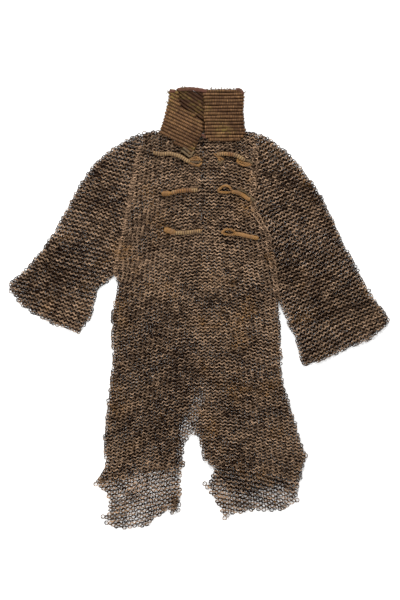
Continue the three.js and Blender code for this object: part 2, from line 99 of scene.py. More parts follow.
def buildStudio():
    # camera straight above: focal length = sensor x distance / height of the picture on the ground
    height = view["imageSize"][1] * view["pixel"]
    lens = bpy.data.cameras.new("camera")
    lens.sensor_width = view["sensor"]
    lens.lens = view["sensor"] * view["distance"] / height
    holder = bpy.data.objects.new("camera", lens)
    holder.location = (*view["lookAt"], view["distance"])
    scene.collection.objects.link(holder)
    scene.camera = holder
    aimedLight("keyLight", studio["keyPlace"], studio["keyPower"], studio["keySize"])
    aimedLight("fillLight", studio["fillPlace"], studio["fillPower"], studio["fillSize"])
    # light comes from a bright ring round the horizon and fades overhead, behind the camera
    sky = bpy.data.worlds.new("sky")
    sky.use_nodes = True
    tree = sky.node_tree
    heading = addNode(tree, "ShaderNodeTexCoord").outputs["Generated"]
    upward = addNode(tree, "ShaderNodeSeparateXYZ", [("Vector", heading)]).outputs["Z"]
    fade = addNode(tree, "ShaderNodeMapRange", [
        ("Value", upward), ("From Min", studio["skyFrom"]), ("From Max", studio["skyTo"]),
        ("To Min", studio["skyStrength"]), ("To Max", studio["overhead"]),
    ], interpolation_type="SMOOTHSTEP")
    tree.nodes["Background"].inputs["Color"].default_value = (1, 1, 1, 1)
    tree.links.new(fade.outputs["Result"], tree.nodes["Background"].inputs["Strength"])
    scene.world = sky
    scene.view_settings.view_transform = "Standard"
    half = studio["floorSize"]
    plane = bpy.data.meshes.new("floor")
    corners = [(-half, -half, 0), (half, -half, 0), (half, half, 0), (-half, half, 0)]
    plane.from_pydata(corners, [], [(0, 1, 2, 3)])
    floor = bpy.data.objects.new("floor", plane)
    scene.collection.objects.link(floor)
    paint = bpy.data.materials.new("floorPaint")
    paint.use_nodes = True
    shader = paint.node_tree.nodes["Principled BSDF"]
    shader.inputs["Base Color"].default_value = studio["floorColour"]
    shader.inputs["Roughness"].default_value = studio["floorRoughness"]
    shader.inputs["Specular IOR Level"].default_value = studio["floorGloss"]
    plane.materials.append(paint)
    print("studio ready")


# Materials

def newGroup(name, inputs, outputs):
    # empty shader group: inputs are (label, kind, value), outputs (label, kind)
    group = bpy.data.node_groups.new(name, "ShaderNodeTree")
    for label, kind, value in inputs:
        socket = group.interface.new_socket(name=label, in_out="INPUT", socket_type=kind)
        socket.default_value = value
    for label, kind in outputs:
        group.interface.new_socket(name=label, in_out="OUTPUT", socket_type=kind)
    return group


def blendColour(tree, share, a, b):
    # colour a (1 - share) + b share; 0, 6 and 7 are the node's sockets for share and colours
    node = addNode(tree, "ShaderNodeMix", [(0, share), (6, a), (7, b)], data_type="RGBA")
    return node.outputs[2]


def noiseMask(tree, place, scale, low, high, detail=3.0):
    # soft mask that rises from 0 to 1 between two values of a noise
    noise = addNode(tree, "ShaderNodeTexNoise", [("Vector", place), ("Scale", scale), ("Detail", detail)])
    ramp = addNode(tree, "ShaderNodeMapRange", [
        ("Value", noise.outputs["Fac"]), ("From Min", low), ("From Max", high),
    ], interpolation_type="SMOOTHSTEP")
    return ramp.outputs["Result"]


def finishGroup(group, start, place, colour, look):
    # grain, whose noise also moves the roughness between two values, and the links to the outputs
    grain = addNode(group, "ShaderNodeTexNoise", [
        ("Vector", place), ("Scale", start.outputs["Grain Scale"]), ("Detail", look["grainDetail"]),
    ])
    low, high = look["roughness"]
    rough = addNode(group, "ShaderNodeMapRange", [
        ("Value", grain.outputs["Fac"]), ("To Min", low), ("To Max", high),
    ])
    end = addNode(group, "NodeGroupOutput")
    group.links.new(colour, end.inputs["Colour"])
    group.links.new(rough.outputs["Result"], end.inputs["Roughness"])
    group.links.new(grain.outputs["Fac"], end.inputs["Height"])
    return group


patinaLook = {
    "patches": (0.3, 0.7),     # values of the noise between which the mask rises
    "patchShift": 0.12,        # how far the patches move a ring's tone either way
    "toneCurve": 1.5,
    "rustScale": 14.0,
    "rust": (0.52, 0.72),
    "rustDetail": 5.0,
    "spotScale": 150.0,
    "spots": (0.4, 0.75),
    "grainDetail": 2.0,
    "roughness": (0.34, 0.62),
}


def buildPatina():
    # metal: dark + (bright - dark) (tone + patches) ^ curve, rust where both its masks allow, and grain
    group = newGroup("patina", [
        ("Bright", "NodeSocketColor", (0.2, 0.16, 0.12, 1)),
        ("Dark", "NodeSocketColor", (0.06, 0.045, 0.035, 1)),
        ("Rust", "NodeSocketColor", (0.22, 0.1, 0.03, 1)),
        ("Tone", "NodeSocketFloat", 0.5),
        ("Patch Scale", "NodeSocketFloat", 9.0),
        ("Grain Scale", "NodeSocketFloat", 700.0),
    ], [("Colour", "NodeSocketColor"), ("Roughness", "NodeSocketFloat"), ("Height", "NodeSocketFloat")])
    start = addNode(group, "NodeGroupInput")
    place = addNode(group, "ShaderNodeTexCoord").outputs["Object"]
    patches = noiseMask(group, place, start.outputs["Patch Scale"], *patinaLook["patches"])
    spots = noiseMask(group, place, patinaLook["spotScale"], *patinaLook["spots"])
    shift = addNode(group, "ShaderNodeMapRange", [
        ("Value", patches), ("To Min", -patinaLook["patchShift"]), ("To Max", patinaLook["patchShift"]),
    ])
    lifted = addNode(group, "ShaderNodeMath", [
        (0, start.outputs["Tone"]), (1, shift.outputs["Result"]),
    ], operation="ADD", use_clamp=True)
    toned = addNode(group, "ShaderNodeMath", [
        (0, lifted.outputs[0]), (1, patinaLook["toneCurve"]),
    ], operation="POWER")
    colour = blendColour(group, toned.outputs[0], start.outputs["Dark"], start.outputs["Bright"])
    rustPatch = noiseMask(
        group, place, patinaLook["rustScale"], *patinaLook["rust"], detail=patinaLook["rustDetail"]
    )
    rustShare = addNode(group, "ShaderNodeMath", [(0, rustPatch), (1, spots)], operation="MULTIPLY")
    colour = blendColour(group, rustShare.outputs[0], colour, start.outputs["Rust"])
    return finishGroup(group, start, place, colour, patinaLook)


hideLook = {
    "stainScale": 60.0,
    "stains": (0.35, 0.7),
    "stainShare": 0.55,
    "tintScale": 26.0,
    "tints": (0.45, 0.62),
    "grainDetail": 4.0,
    "roughness": (0.55, 0.85),
    "bandWander": 0.5,         # the dark line between the turns of a winding
    "bandFrom": 0.75,
    "bandDark": 0.8,
}


def buildHide():
    # leather: worn colour, then tint, then the deep colour by its stains and by the input Band
    group = newGroup("hide", [
        ("Worn", "NodeSocketColor", (0.5, 0.33, 0.15, 1)),
        ("Deep", "NodeSocketColor", (0.12, 0.06, 0.025, 1)),
        ("Tint", "NodeSocketColor", (0.55, 0.27, 0.05, 1)),
        ("Band", "NodeSocketFloat", 0.5),
        ("Grain Scale", "NodeSocketFloat", 420.0),
    ], [("Colour", "NodeSocketColor"), ("Roughness", "NodeSocketFloat"), ("Height", "NodeSocketFloat")])
    start = addNode(group, "NodeGroupInput")
    place = addNode(group, "ShaderNodeTexCoord").outputs["Object"]
    stained = noiseMask(group, place, hideLook["stainScale"], *hideLook["stains"])
    tinted = noiseMask(group, place, hideLook["tintScale"], *hideLook["tints"])
    colour = blendColour(group, tinted, start.outputs["Worn"], start.outputs["Tint"])
    share = addNode(group, "ShaderNodeMath", [
        (0, stained), (1, hideLook["stainShare"]),
    ], operation="MULTIPLY")
    colour = blendColour(group, share.outputs[0], colour, start.outputs["Deep"])
    colour = blendColour(group, start.outputs["Band"], colour, start.outputs["Deep"])
    return finishGroup(group, start, place, colour, hideLook)


def finishMaterial(name, group, metal, bump, gloss, tone=None, band=None):
    # material from a shader group and the colours of finishes; tone names the attribute that sets
    # the group's Tone, and band is how many dark lines a unit of the winding's first coordinate has
    finish = bpy.data.materials.new(name)
    finish.use_nodes = True
    tree = finish.node_tree
    shader = tree.nodes["Principled BSDF"]
    effect = addNode(tree, "ShaderNodeGroup", node_tree=group)
    for socket, colour in zip(effect.inputs, finishes[name]):
        socket.default_value = (*colour, 1)
    if tone:
        reader = addNode(tree, "ShaderNodeAttribute", attribute_name=tone)
        tree.links.new(reader.outputs["Fac"], effect.inputs["Tone"])
    if band:
        sheetPlace = addNode(tree, "ShaderNodeUVMap", uv_map="wrap")
        wave = addNode(tree, "ShaderNodeTexWave", [
            ("Vector", sheetPlace.outputs["UV"]), ("Scale", band * np.pi / 10),
            ("Distortion", hideLook["bandWander"]),
        ])
        dark = addNode(tree, "ShaderNodeMapRange", [
            ("Value", wave.outputs["Fac"]), ("From Min", hideLook["bandFrom"]), ("From Max", 0.0),
            ("To Min", 0.0), ("To Max", hideLook["bandDark"]),
        ])
        tree.links.new(dark.outputs["Result"], effect.inputs["Band"])
    tree.links.new(effect.outputs["Colour"], shader.inputs["Base Color"])
    tree.links.new(effect.outputs["Roughness"], shader.inputs["Roughness"])
    relief = addNode(tree, "ShaderNodeBump", [
        ("Height", effect.outputs["Height"]), ("Strength", bump), ("Distance", grainHeight),
    ])
    tree.links.new(relief.outputs["Normal"], shader.inputs["Normal"])
    shader.inputs["Metallic"].default_value = metal
    shader.inputs["Specular IOR Level"].default_value = gloss
    return finish


grainHeight = 0.4 * mm
# Bright, Dark and Rust of the metal finishes, and Worn, Deep and Tint of the leathers
finishes = {
    "mail": [(0.365, 0.236, 0.147), (0.013, 0.005, 0.002), (0.27, 0.14, 0.05)],
    "collarRings": [(0.255, 0.135, 0.057), (0.03, 0.012, 0.005), (0.17, 0.12, 0.03)],
    "thong": [(0.16, 0.11, 0.05), (0.035, 0.017, 0.007), (0.12, 0.095, 0.033)],
    "cord": [(0.215, 0.135, 0.057), (0.04, 0.015, 0.005), (0.2, 0.09, 0.022)],
    "loop": [(0.33, 0.165, 0.043), (0.05, 0.02, 0.007), (0.3, 0.14, 0.016)],
    "binding": [(0.12, 0.05, 0.026), (0.035, 0.014, 0.008), (0.1, 0.034, 0.02)],
}

buildStudio()
patina = buildPatina()
hide = buildHide()
mailFinish = finishMaterial("mail", patina, metal=0.5, bump=0.15, gloss=0.12, tone="ringTone")
collarFinish = finishMaterial("collarRings", patina, metal=0.2, bump=0.2, gloss=0.1, tone="ringTone")
thongFinish = finishMaterial("thong", hide, metal=0.0, bump=0.4, gloss=0.3)
cordFinish = finishMaterial("cord", hide, metal=0.0, bump=0.5, gloss=0.3, band=1.0)
loopFinish = finishMaterial("loop", hide, metal=0.0, bump=0.4, gloss=0.35)
bindingFinish = finishMaterial("binding", hide, metal=0.0, bump=0.5, gloss=0.2)
print("materials ready")


# Mesh helpers

def makeMesh(name, points, faceSets, finish):
    # whole arrays: points n x 3, and one array of faces for each number of corners
    mesh = bpy.data.meshes.new(name)
    mesh.vertices.add(len(points))
    mesh.vertices.foreach_set("co", points.astype(np.float32).ravel())
    corners = np.concatenate([faces.ravel() for faces in faceSets])
    sizes = np.concatenate([np.full(len(faces), faces.shape[1]) for faces in faceSets])
    mesh.loops.add(len(corners))
    mesh.loops.foreach_set("vertex_index", corners.astype(np.int32))
    mesh.polygons.add(len(sizes))
    mesh.polygons.foreach_set("loop_start", (np.cumsum(sizes) - sizes).astype(np.int32))
    mesh.polygons.foreach_set("loop_total", sizes.astype(np.int32))
    mesh.polygons.foreach_set("use_smooth", np.full(len(sizes), True))
    mesh.update(calc_edges=True)
    mesh.validate()
    mesh.materials.append(finish)
    piece = bpy.data.objects.new(name, mesh)
    scene.collection.objects.link(piece)
    return piece


def storeValues(piece, label, values):
    # one value for each point of the mesh, kept as an attribute that a material can read
    store = piece.data.attributes.new(label, "FLOAT", "POINT")
    store.data.foreach_set("value", values.astype(np.float32).ravel())


def sweptTubes(name, centres, sides, ups, widths, heights, turns, finish):
    # Many closed tubes at once, tube k, section i, corner j:
    # P[k,i] + width[k,i,j] cos(a[j]) side[k,i] + height[k,i,j] sin(a[j]) up[k,i]
    # centres, sides and ups are tubes x sections x 3, widths and heights tubes x sections x corners
    tubes, sections = centres.shape[:2]
    a = np.arange(turns) * 2 * np.pi / turns
    points = centres[:, :, None, :] + sides[:, :, None, :] * (widths * np.cos(a))[..., None]
    points = points + ups[:, :, None, :] * (heights * np.sin(a))[..., None]
    i, j = np.meshgrid(np.arange(sections - 1), np.arange(turns), indexing="ij")
    nextJ = (j + 1) % turns
    here, after = i * turns, (i + 1) * turns
    one = np.stack([here + j, here + nextJ, after + nextJ, after + j], axis=-1)
    first = (np.arange(tubes) * sections * turns)[:, None, None]
    quads = (one.reshape(1, -1, 4) + first).reshape(-1, 4)
    caps = np.concatenate([
        first[:, 0] + np.arange(turns)[None, ::-1],
        first[:, 0] + (sections - 1) * turns + np.arange(turns)[None, :],
    ])
    return makeMesh(name, points.reshape(-1, 3), [quads, caps], finish)


def ringMesh(name, centres, along, normals, tilts, ring, finish, tones, swell=None, dirtAndShadeShare=1.0):
    # Each ring is a flattened torus: its centre plus (R - e + (w + e) cos b) times a turning unit
    # vector in the ring's plane, plus h sin b times the plane's normal. The plane is spanned by
    # the row's direction and a second vector that leans out of the cloth by the tilt. The swell e
    # makes a ring broader inwards.
    turns, sides = ring["turns"], ring["sides"]
    across = np.cross(normals, along)
    lean, sine = np.cos(tilts)[:, None], np.sin(tilts)[:, None]
    second = across * lean - normals * sine
    facing = normals * lean + across * sine
    a = np.arange(turns) * 2 * np.pi / turns
    b = np.arange(sides) * 2 * np.pi / sides
    out = along[:, None, :] * np.cos(a)[None, :, None] + second[:, None, :] * np.sin(a)[None, :, None]
    count = len(centres)
    swell = np.zeros((count, 1)) if swell is None else swell[:, None]
    reach = ring["radius"] - swell + (ring["wire"] * ring["wide"] + swell) * np.cos(b)
    rise = ring["wire"] * ring["thick"] * np.sin(b)
    points = centres[:, None, None, :] + out[:, :, None, :] * reach[:, None, :, None]
    points = points + facing[:, None, None, :] * rise[None, None, :, None]
    points[..., 2] = np.maximum(points[..., 2], groundGap)    # the lowest edges lie flat on the ground
    i, j = np.meshgrid(np.arange(turns), np.arange(sides), indexing="ij")
    nextI, nextJ = (i + 1) % turns, (j + 1) % sides
    one = np.stack([i * sides + j, nextI * sides + j, nextI * sides + nextJ, i * sides + nextJ], axis=-1)
    quads = one.reshape(1, -1, 4) + (np.arange(count) * turns * sides)[:, None, None]
    piece = makeMesh(name, points.reshape(-1, 3), [quads.reshape(-1, 4)], finish)
    # the raised edge of each ring is worn bright with a painted highlight, and the low edge and the holes
    # between rings are darkened with dirt and painted shade
    height = np.sin(a)[None, :] * -sine / np.abs(sine).mean()
    dirt = np.clip(ringWearAndShading["dirtAndShadeBelow"] - height, 0, None) / (1 + ringWearAndShading["dirtAndShadeBelow"])
    dirt = ringWearAndShading["dirt"] * dirt * np.reshape(dirtAndShadeShare, (-1, 1))
    shade = tones[:, None] + ringWearAndShading["rise"] * height - dirt
    storeValues(piece, "ringTone", np.repeat(np.clip(shade, 0, 1), sides, axis=1))
    return piece


def levelVectors(angles):
    # unit vectors (cos a, sin a, 0)
    return np.stack([np.cos(angles), np.sin(angles), np.zeros(len(angles))], axis=1)


def alongLine(line):
    # unit direction at each point of a line, and the length from the line's start
    ahead = np.gradient(line, axis=0)
    ahead /= np.linalg.norm(ahead, axis=1)[:, None]
    return ahead, np.append(0, np.cumsum(np.linalg.norm(np.diff(line, axis=0), axis=1)))


def takePlace(piece, node):
    # the piece rides on the only body and is shown in place of a CAD node
    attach(piece, "root")
    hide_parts(node)


def joinPieces(name, pieces):
    # one object of several, which keep their materials
    with bpy.context.temp_override(active_object=pieces[0], selected_editable_objects=pieces):
        bpy.ops.object.join()
    pieces[0].name = name
    return pieces[0]


def treeOf(node):
    # the mesh of a CAD node, for rays
    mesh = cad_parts[node].data
    points = np.empty(len(mesh.vertices) * 3, np.float32)
    mesh.vertices.foreach_get("co", points)
    faces = [tuple(face.vertices) for face in mesh.polygons]
    return BVHTree.FromPolygons([tuple(p) for p in points.reshape(-1, 3)], faces)


def dropOn(tree, places):
    # height and normal of a solid's upper side under each place, and whether it is there
    down = Vector((0, 0, -1))
    hits = [tree.ray_cast(Vector((x, y, rayStart)), down) for x, y in places]
    found = np.array([hit[0] is not None for hit in hits])
    heights = np.array([hit[0].z if hit[0] else 0.0 for hit in hits])
    normals = np.array([tuple(hit[1]) if hit[0] else tuple(upright) for hit in hits])
    return found, heights, normals


# Ring mail

rayStart = 0.1                 # rays are sent down from this height
groundGap = 0.05 * mm
# the half width and half thickness of a ring's band are wide and thick times wire
ringSize = {"radius": 4.25 * mm, "wire": 0.9 * mm, "wide": 1.45, "thick": 0.5, "turns": 8, "sides": 3}
hiddenRing = {**ringSize, "turns": 6, "wide": 1.6, "thick": 0.32}
# rise lightens the raised edge of each ring, wear with a painted highlight; dirt darkens the low edge and
# the holes, dirt with painted shade
ringWearAndShading = {"rise": 0.19, "dirt": 0.8, "dirtAndShadeBelow": -0.45}
bodyWeave = {
    "across": 10.8 * mm,       # from ring to ring along a row
    "down": 3.74 * mm,         # from row to row
    "looseDown": 4.8 * mm,     # from row to row at the stretched hem
    "looseFrom": -372 * mm,
    "from": (-0.25, -0.54),    # corners of the field of rings
    "to": (0.26, 0.52),
    "tilt": np.radians(31),
    "dirt": 1.0,               # share of the rings' dirt and painted shade
    "tone": 0.0,               # added to mailTone's middle
    "middle": 20 * mm,         # where the rows are level
    "archRise": 22 * mm,       # rows run as a cosine of this height
    "archReach": 83 * mm,      # and of this wavelength over 2 pi
    "draw": 0.06,              # rows are drawn in sideways above drawAt and spread below it
    "drawAt": 90 * mm,
    "drawReach": 120 * mm,
    "pullAt": (200 * mm, 110 * mm),          # height of the armpits' pull, and how far it reaches
    "pullLeft": (112 * mm, 3.0),             # where it starts from the middle, and its strength
    "pullRight": (105 * mm, 2.6),
    "swayOne": (0.9 * mm, 0.019, 0.07),      # slow waves, as slowWave reads them
    "swayTwo": (0.7 * mm, 0.031, -0.023),
    "ripple": (0.9 * mm, 0.006, 0.025),
    "bend": (2.0 * mm, 0.016),               # rows also bend sideways, in a wave that wanders
    "wander": (1.7, 0.04),
}
sleeveWeave = {
    "across": 9.7 * mm,
    "down": 4.7 * mm,
    "from": (-0.36, -0.42),
    "to": (0.36, 0.42),
    "tilt": np.radians(26),
    # share of the rings' dirt and painted shade
    "dirt": 0.45,
    "tone": -0.06,
    "sway": (1.9 * mm, 0.019, 0.05),
    "wave": (3.2 * mm, 0.033, 0.045),
}
handLaid = {
    "along": 0.6 * mm,         # how far a ring lies from its place in the row, and across it
    "across": 0.4 * mm,
    "tilt": np.radians(8),
    "lean": np.radians(9),
    "turn": np.radians(6),
}
edgeInset = 2.3 * mm
edgeRagged = (0.2, 1.5)            # the inset of a ring is between these times edgeInset
slit = {"half": 2.2 * mm, "x": 10.5 * mm, "from": 152 * mm}      # the neck slit, open from here up
# rips, and rings gone beside the front split: x, y and radius in mm
rips = [
    (173, 118, 5), (200, 143, 5),
    (8, -196, 6), (-20, -238, 7), (-30, -258, 9), (-38, -276, 9), (-44, -292, 7),
]


def slowWave(wave, p, q):
    # height sin(p / a + q / b), for a wave of (height, a, b)
    return wave[0] * np.sin(p / wave[1] + q / wave[2])


def latticeOf(weave):
    # rows of ring centres between two corners: every second row is half a ring further
    low, high = weave["from"], weave["to"]
    rows = np.arange(high[1], low[1], -weave["down"])
    if "looseFrom" in weave:
        rows = rows[rows > weave["looseFrom"]]
        rows = np.concatenate([rows, np.arange(weave["looseFrom"], low[1], -weave["looseDown"])])
    columns = np.arange(low[0], high[0], weave["across"])
    u, v = np.meshgrid(columns, rows)
    odd = (np.arange(len(rows)) % 2)[:, None] * np.ones_like(u)
    u = u + odd * weave["across"] / 2
    return u.ravel(), v.ravel(), np.where(odd.ravel() > 0, -1.0, 1.0)


def rowHeight(weave, u, v):
    # how high a row runs at u: h = rise cos((u - middle) / reach), less a square near the armpits,
    # and two slow waves
    away = u - weave["middle"]
    pull = np.exp(-((v - weave["pullAt"][0]) / weave["pullAt"][1]) ** 2)
    left = np.clip(-away - weave["pullLeft"][0], 0, None) ** 2 * weave["pullLeft"][1]
    right = np.clip(away - weave["pullRight"][0], 0, None) ** 2 * weave["pullRight"][1]
    sway = slowWave(weave["swayOne"], u, v) + slowWave(weave["swayTwo"], u, v)
    return weave["archRise"] * np.cos(away / weave["archReach"]) - pull * (left + right) + sway


def bodyLattice(shift):
    # rows bent by rowHeight, then swayed and drawn together sideways: x = u (1 - d tanh((v - v0) / r))
    weave = bodyWeave
    u, v, parity = latticeOf(weave)
    u, v = u + shift[0], v + shift[1]
    step = 0.5 * mm
    slope = (rowHeight(weave, u + step, v) - rowHeight(weave, u - step, v)) / (2 * step)
    wander = weave["wander"][0] * np.sin(u / weave["wander"][1])
    bend = weave["bend"][0] * np.sin(v / weave["bend"][1] + wander)
    x = u + bend + slowWave(weave["ripple"], v, u)
    # rings lie closer over the chest and wider over the belly
    x = x * (1 - weave["draw"] * np.tanh((v - weave["drawAt"]) / weave["drawReach"]))
    cells = weave["across"] * np.where(v < weave["looseFrom"], weave["looseDown"], weave["down"])
    return np.stack([x, v + rowHeight(weave, u, v)], axis=1), np.arctan(slope), parity, cells


def sleeveLattice(angle, middle, shift):
    # straight rows at an angle, with one slow wave along them and one across
    u, v, parity = latticeOf(sleeveWeave)
    u, v = u + shift[0], v + shift[1]
    u, v = u + slowWave(sleeveWeave["sway"], v, u), v + slowWave(sleeveWeave["wave"], u, v)
    x = middle[0] + u * np.cos(angle) - v * np.sin(angle)
    y = middle[1] + u * np.sin(angle) + v * np.cos(angle)
    cells = np.full(len(x), sleeveWeave["across"] * sleeveWeave["down"])
    return np.stack([x, y], axis=1), np.full(len(x), angle), parity, cells


def keepInside(places, own, others):
    # places on the piece itself whose surroundings are on it or on the mail beside it; how far
    # the surroundings reach is drawn for each place, so edges are ragged
    found, heights, normals = dropOn(own, places)
    index = np.flatnonzero(found)
    inset = edgeInset * rng.uniform(*edgeRagged, (len(places), 1))
    for turn in np.arange(6) * np.pi / 3:
        near = places[index] + inset[index] * np.array([np.cos(turn), np.sin(turn)])
        covered = dropOn(own, near)[0]
        for other in others:
            bare = np.flatnonzero(~covered)
            covered[bare] = dropOn(other, near[bare])[0]
        index = index[covered]
    return index, heights[index], normals[index]


def nearSpots(places, spots):
    # 1 at the middle of a spot and falling off round it: max exp(-(d / r)^2), spots as x, y, r in mm
    spots = np.array(spots) * mm
    away = np.linalg.norm(places[:, None, :] - spots[None, :, :2], axis=2) / spots[:, 2]
    return np.exp(-away ** 2).max(axis=1)


def mailLayer(name, lattice, own, others, ring, weave, level=None, over=None, bounds=None):
    # rings of a lattice laid on a CAD piece: on top of it, or at one level on the ground
    index, heights, normals = keepInside(lattice[0], own, others)
    places, angles, parity, cells = [values[index] for values in lattice]
    if bounds is not None:
        chosen = (places[:, 1] < bounds[1]) & (places[:, 1] >= bounds[0])
        places, angles, parity, cells = places[chosen], angles[chosen], parity[chosen], cells[chosen]
        heights, normals = heights[chosen], normals[chosen]
    count = len(places)
    if level is None:
        heights = np.maximum(heights - topLayer["sink"], lowLevel)
    else:
        heights, normals = np.full(count, level), np.tile(upright, (count, 1))
    angles = angles + rng.normal(0, handLaid["turn"], count)
    along = levelVectors(angles)
    along -= normals * (along * normals).sum(axis=1)[:, None]
    along /= np.linalg.norm(along, axis=1)[:, None]
    across = np.cross(normals, along)
    centres = np.column_stack([places, heights]) + along * rng.normal(0, handLaid["along"], (count, 1))
    centres += across * rng.normal(0, handLaid["across"], (count, 1))
    lean = rng.normal(0, handLaid["lean"], (count, 1))
    along = along * np.cos(lean) + normals * np.sin(lean)
    normals = np.cross(along, across)
    tilts = parity * weave["tilt"] + rng.normal(0, handLaid["tilt"], count)
    tones = rng.normal(mailTone["middle"] + weave["tone"], mailTone["spread"], count)
    # darker in the dull spots: dull metal, and painted shadow below the collar's left flap
    tones -= mailTone["dull"] * nearSpots(places, mailTone["dullAndShadowSpots"])
    # each ring's share of the dirt and painted shade on its low edge
    swell, dirtAndShadeShare = np.zeros(count), np.full(count, weave["dirt"])
    if over is not None:
        covered = dropOn(over, places)[0]
        # rings under other mail are darkened as painted shade; the others get singleMail's lift
        tones += np.where(covered, -mailTone["under"], singleMail["lift"])
        gaping = nearSpots(places, singleMail["openSpots"])
        swell = np.where(covered, 0.0, singleMail["swell"] * (1 - gaping))
        dirtAndShadeShare = np.where(covered, dirtAndShadeShare, singleMail["dirt"])
    return ringMesh(name, centres, along, normals, tilts, ring, mailFinish, tones, swell, dirtAndShadeShare)


def openSlit(lattice):
    # the lattice without the rings of the neck slit and of the rips
    places = lattice[0]
    clear = (np.abs(places[:, 0] - slit["x"]) > slit["half"]) | (places[:, 1] < slit["from"])
    for x, y, radius in rips:
        clear &= np.hypot(places[:, 0] - x * mm, places[:, 1] - y * mm) > radius * mm
    return [values[clear] for values in lattice]


trees = {node: treeOf(node) for node in ("front_panel", "back_panel", "sleeve_left", "sleeve_right")}
sleeves = [trees["sleeve_left"], trees["sleeve_right"]]
lowLevel = 2.95 * mm               # height of the ring centres in the lower layer
topLayer = {
    "sink": 1.3 * mm,              # how far ring centres lie under the top of the CAD cloth
    "flat": 8.4 * mm,              # its height where it has no fold
}
mailTone = {
    "middle": 0.475,
    "spread": 0.2,
    "under": 0.7,                  # painted shade: how much darker the rings are where other mail covers them
    "dull": 0.15,                  # and in the dull spots, given as x, y and radius in mm; three of them are painted shadow
    "dullAndShadowSpots": [
        (-150, 10, 80), (140, 0, 70), (130, -230, 120), (165, 345, 70), (-135, 350, 50), (-60, -300, 60),
        (-330, 70, 90), (-240, 180, 70), (345, -10, 80), (-40, -150, 110), (90, -90, 90), (100, -330, 90),
        (-100, -50, 80), (-280, 230, 60), (-330, 130, 60), (-400, 30, 60), (260, 250, 60), (340, 80, 70),
        # the last three spots on the next line are painted shadow from the collar's left flap on the mail
        # below it
        (300, -90, 60), (230, 120, 50), (-79, 373, 24), (-50, 357, 16), (-105, 385, 22),
        (-150, -160, 90), (-130, -270, 70), (-200, 300, 60), (200, 300, 50),
    ],
}
singleMail = {                     # the back below the front's hem, seen against the ground
    "lift": -0.05,
    "swell": 0.6 * mm,
    # share of the rings' dirt and painted shade
    "dirt": 0.5,
    "openSpots": [                 # x, y and radius in mm
        (-108, -384, 32), (-140, -472, 26), (-172, -428, 15), (200, -430, 42), (60, -398, 14),
        (150, -452, 17), (6, -190, 9), (-4, -215, 11), (-12, -243, 13), (-22, -272, 17), (-35, -290, 12),
    ],
    "loneRings": [                 # x and y in mm
        (-10, -282), (-41, -377), (-77, -451), (15, -396), (21, -404), (60, -473), (-230, -397),
        (223, -433), (-206, -484), (-214, -470), (42, -366), (242, -333), (-44, -297), (66, -467),
        (-224, -391),
    ],
    "loneTilt": (0.1, 0.4),
    "loneTone": 0.45,
    "twistAt": (-51, -446),        # rings gathered in a dark twist at a hem corner
    "twistReach": (5, 9),
    "twistRings": 16,
    "twistHeight": 2 * mm,
    "twistTilt": (0.5, 1.1),
    "twistTone": 0.18,
    "toneSpread": 0.08,
}
splitHeight = {"front": -60 * mm, "back": -160 * mm}     # where a panel's mail is cut in two pieces


def panelMail(side, lattice, upperRing, **under):
    # the mail of a panel as two pieces, above and below the height where it is cut
    own, split = trees[side + "_panel"], splitHeight[side]
    parts = (("Upper", upperRing, (split, np.inf)), ("Skirt", ringSize, (-np.inf, split)))
    return [
        mailLayer(side + "Mail" + part, lattice, own, sleeves, ring, bodyWeave, bounds=bounds, **under)
        for part, ring, bounds in parts
    ]


frontUpper, frontSkirt = panelMail("front", openSlit(bodyLattice((0.0, 0.0))), ringSize)
backUpper, backSkirt = panelMail(
    "back", bodyLattice((bodyWeave["across"] / 2, 0.0)), hiddenRing,
    level=lowLevel, over=trees["front_panel"],
)


def looseRings(name):
    # single rings that stand out from the hem, and a bundle of rings turned every way
    lone = np.array(singleMail["loneRings"], dtype=float)
    scatter = rng.normal(0, 1, (singleMail["twistRings"], 2))
    twist = singleMail["twistAt"] + scatter * singleMail["twistReach"]
    places = np.concatenate([lone, twist]) * mm
    count = len(places)
    turned = np.arange(count) >= len(lone)
    angles = rng.uniform(0, np.pi, count)
    along = levelVectors(angles)
    lift = turned * rng.uniform(0, singleMail["twistHeight"], count)
    centres = np.column_stack([places, lowLevel + lift])
    twistTilts = rng.uniform(*singleMail["twistTilt"], count)
    tilts = np.where(turned, twistTilts, rng.uniform(*singleMail["loneTilt"], count))
    tones = np.where(turned, singleMail["twistTone"], singleMail["loneTone"])
    tones = tones + rng.normal(0, singleMail["toneSpread"], count)
    normals = np.tile(upright, (count, 1))
    return ringMesh(name, centres, along, normals, tilts, ringSize, mailFinish, tones)


backSkirt = joinPieces("backMailSkirt", [backSkirt, looseRings("looseRings")])
print("body mail ready", [len(p.data.polygons) for p in (frontUpper, frontSkirt, backUpper, backSkirt)])

sleeveMiddles = {"left": (-0.27, 0.15), "right": (0.27, 0.13)}
sleeveAngles = {"left": np.radians(-18), "right": np.radians(27)}
sleevePieces = {}
for side in ("left", "right"):
    own = trees["sleeve_" + side]
    top = sleeveLattice(sleeveAngles[side], sleeveMiddles[side], (0.0, 0.0))
    under = sleeveLattice(sleeveAngles[side], sleeveMiddles[side], (sleeveWeave["across"] / 2, 0.0))
    label = "sleeve" + side.capitalize() + "Mail"
    upper = mailLayer(label, openSlit(top), own, [trees["front_panel"]], ringSize, sleeveWeave)
    lower = mailLayer(
        label + "Under", under, own, [trees["back_panel"]], hiddenRing, sleeveWeave,
        level=lowLevel, over=own,
    )
    sleevePieces[side] = joinPieces(label, [upper, lower])
print("sleeve mail ready", [len(p.data.polygons) for p in sleevePieces.values()])


seamLook = {
    "acrossFrom": -0.24,           # the field in which the seams are looked for
    "acrossTo": 0.24,
    "probe": 1 * mm,
    "downFrom": 0.36,
    "downTo": 0.0,
    "step": 6 * mm,
    "offset": 1.9 * mm,
    "jitter": 0.9 * mm,
    "jitterShare": (1, 1, 0.3),
    "turn": 0.2,
    "left": {"angle": np.radians(14), "worn": (0.0, 0.0)},         # laid like the rows beside it
    "right": {"angle": np.radians(-50), "worn": (172 * mm, 215 * mm)},
    "wornLift": 0.35,
}


